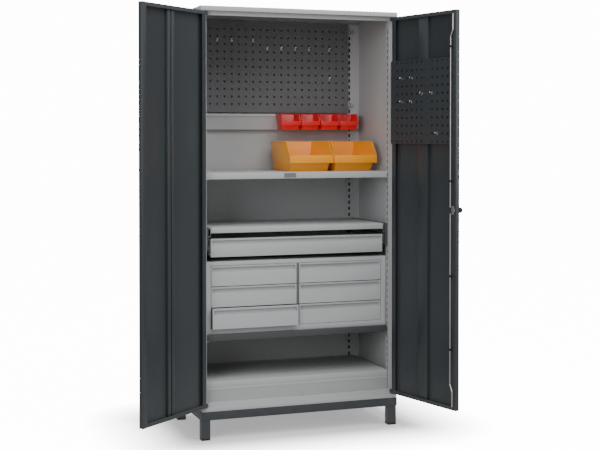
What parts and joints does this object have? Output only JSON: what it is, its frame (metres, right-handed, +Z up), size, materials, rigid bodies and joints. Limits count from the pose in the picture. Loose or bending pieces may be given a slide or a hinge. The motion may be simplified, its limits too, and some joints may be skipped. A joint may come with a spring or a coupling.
{
  "type": "workshop tool cabinet",
  "caption": "Tall two-door steel tool cabinet on a leg frame, with pull-out worktop, drawer unit, shelves, perforated boards and hanging bins.",
  "frame": {"origin": "on the floor at the centre of the cabinet's own footprint, doors not counted", "axes": "+Z up, -Y out of the front opening, +X to the right when facing the front"},
  "size_m": [1.4851, 0.9698, 2.035],
  "materials": {
    "light_paint": "satin",
    "dark_paint": "satin",
    "shelf_paint": "satin",
    "board_paint": "satin",
    "zinc_steel": "zinc plated",
    "chrome_wire": "bright",
    "black_plastic": "moulded",
    "red_plastic": "moulded",
    "orange_plastic": "moulded"
  },
  "bodies": {
    "cabinet": {"leg_frame": "dark_paint", "legs": "dark_paint", "foot_caps": "black_plastic", "frame_bolts": "zinc_steel", "roof_panel": "light_paint", "floor_panel": "light_paint", "left_side_panel": "light_paint", "right_side_panel": "light_paint", "left_back_panel": "light_paint", "right_back_panel": "light_paint", "left_front_post": "light_paint", "right_front_post": "light_paint", "left_rear_post": "light_paint", "right_rear_post": "light_paint", "upper_shelf": "light_paint", "middle_shelf": "shelf_paint", "bottom_shelf": "light_paint", "plinth_riser": "light_paint", "shelf_hooks": "zinc_steel", "back_pegboard": "board_paint", "pegboard_clips": "zinc_steel", "pegboard_hooks": "chrome_wire", "bin_rail": "light_paint", "hinge_pins": "zinc_steel", "slide_carriers": "shelf_paint", "slide_outers": "zinc_steel", "drawer_unit_housing": "light_paint", "drawer_unit_divider": "board_paint", "drawer_runners": "zinc_steel"},
    "left_door": {"left_door": "dark_paint", "left_door_stiffener": "dark_paint", "door_meeting_strip": "dark_paint"},
    "right_door": {"right_door": "dark_paint", "right_door_stiffener": "dark_paint", "door_pegboard": "dark_paint", "door_hooks": "chrome_wire", "lock_case": "black_plastic", "rod_guides": "black_plastic"},
    "handle": {"lock_knob": "black_plastic", "lock_cam": "zinc_steel"},
    "upper_rod": {"upper_lock_rod": "zinc_steel"},
    "lower_rod": {"lower_lock_rod": "zinc_steel"},
    "worktop": {"worktop": "light_paint", "worktop_slide_inners": "zinc_steel"},
    "worktop_middle": {"worktop_slide_middles": "zinc_steel"},
    "wide_drawer": {"wide_drawer": "light_paint", "wide_drawer_slide_inners": "zinc_steel"},
    "wide_drawer_middle": {"wide_drawer_slide_middles": "zinc_steel"},
    "drawer_left_bottom": {"drawer_left_bottom": "light_paint"},
    "drawer_left_middle": {"drawer_left_middle": "light_paint"},
    "drawer_left_top": {"drawer_left_top": "light_paint"},
    "drawer_right_bottom": {"drawer_right_bottom": "light_paint"},
    "drawer_right_middle": {"drawer_right_middle": "light_paint"},
    "drawer_right_top": {"drawer_right_top": "light_paint"},
    "red_bin_1": {"red_bin_1": "red_plastic"},
    "red_bin_2": {"red_bin_2": "red_plastic"},
    "red_bin_3": {"red_bin_3": "red_plastic"},
    "red_bin_4": {"red_bin_4": "red_plastic"},
    "orange_bin_1": {"orange_bin_1": "orange_plastic"},
    "orange_bin_2": {"orange_bin_2": "orange_plastic"}
  },
  "joints": [
    {"name": "left_door_hinge", "type": "hinge", "parent": "cabinet", "child": "left_door", "pos_m": [-0.486, -0.245, 1.083], "axis": [0, 0, -1], "range_deg": [-140.2, 9.8]},
    {"name": "right_door_hinge", "type": "hinge", "parent": "cabinet", "child": "right_door", "pos_m": [0.486, -0.245, 1.083], "axis": [0, 0, 1], "range_deg": [-103.4, 46.6]},
    {"name": "handle_turn", "type": "hinge", "parent": "right_door", "child": "handle", "pos_m": [0.59446, -0.70026, 1.084], "axis": [0.9728, 0.2317, 0], "range_deg": [0, 90]},
    {"name": "upper_rod_slide", "type": "slide", "parent": "right_door", "child": "upper_rod", "axis": [0, 0, 1], "range_m": [0, 0.02]},
    {"name": "lower_rod_slide", "type": "slide", "parent": "right_door", "child": "lower_rod", "axis": [0, 0, -1], "range_m": [0, 0.02]},
    {"name": "worktop_slide", "type": "slide", "parent": "cabinet", "child": "worktop", "axis": [0, -1, 0], "range_m": [-0.02, 0.36]},
    {"name": "worktop_middle_slide", "type": "slide", "parent": "cabinet", "child": "worktop_middle", "axis": [0, -1, 0], "range_m": [-0.01, 0.18]},
    {"name": "wide_drawer_slide", "type": "slide", "parent": "cabinet", "child": "wide_drawer", "axis": [0, -1, 0], "range_m": [0, 0.36]},
    {"name": "wide_drawer_middle_slide", "type": "slide", "parent": "cabinet", "child": "wide_drawer_middle", "axis": [0, -1, 0], "range_m": [0, 0.18]},
    {"name": "drawer_left_bottom_slide", "type": "slide", "parent": "cabinet", "child": "drawer_left_bottom", "axis": [0, -1, 0], "range_m": [-0.028, 0.272]},
    {"name": "drawer_left_middle_slide", "type": "slide", "parent": "cabinet", "child": "drawer_left_middle", "axis": [0, -1, 0], "range_m": [0, 0.3]},
    {"name": "drawer_left_top_slide", "type": "slide", "parent": "cabinet", "child": "drawer_left_top", "axis": [0, -1, 0], "range_m": [0, 0.3]},
    {"name": "drawer_right_bottom_slide", "type": "slide", "parent": "cabinet", "child": "drawer_right_bottom", "axis": [0, -1, 0], "range_m": [0, 0.3]},
    {"name": "drawer_right_middle_slide", "type": "slide", "parent": "cabinet", "child": "drawer_right_middle", "axis": [0, -1, 0], "range_m": [0, 0.3]},
    {"name": "drawer_right_top_slide", "type": "slide", "parent": "cabinet", "child": "drawer_right_top", "axis": [0, -1, 0], "range_m": [0, 0.3]},
    {"name": "red_bin_1_lift", "type": "slide", "parent": "cabinet", "child": "red_bin_1", "axis": [0, 0, 1], "range_m": [0, 0.012]},
    {"name": "red_bin_2_lift", "type": "slide", "parent": "cabinet", "child": "red_bin_2", "axis": [0, 0, 1], "range_m": [0, 0.012]},
    {"name": "red_bin_3_lift", "type": "slide", "parent": "cabinet", "child": "red_bin_3", "axis": [0, 0, 1], "range_m": [0, 0.012]},
    {"name": "red_bin_4_lift", "type": "slide", "parent": "cabinet", "child": "red_bin_4", "axis": [0, 0, 1], "range_m": [0, 0.012]},
    {"name": "orange_bin_1_slide", "type": "slide", "parent": "cabinet", "child": "orange_bin_1", "axis": [0, -1, 0], "range_m": [0, 0.085]},
    {"name": "orange_bin_2_slide", "type": "slide", "parent": "cabinet", "child": "orange_bin_2", "axis": [0, -1, 0], "range_m": [0, 0.085]}
  ],
  "couplings": [
    {"joint": "handle_turn", "follows": "upper_rod_slide", "rad_per_m": 78.5},
    {"joint": "lower_rod_slide", "follows": "upper_rod_slide", "ratio": 1},
    {"joint": "worktop_middle_slide", "follows": "worktop_slide", "ratio": 0.5},
    {"joint": "wide_drawer_middle_slide", "follows": "wide_drawer_slide", "ratio": 0.5}
  ]
}
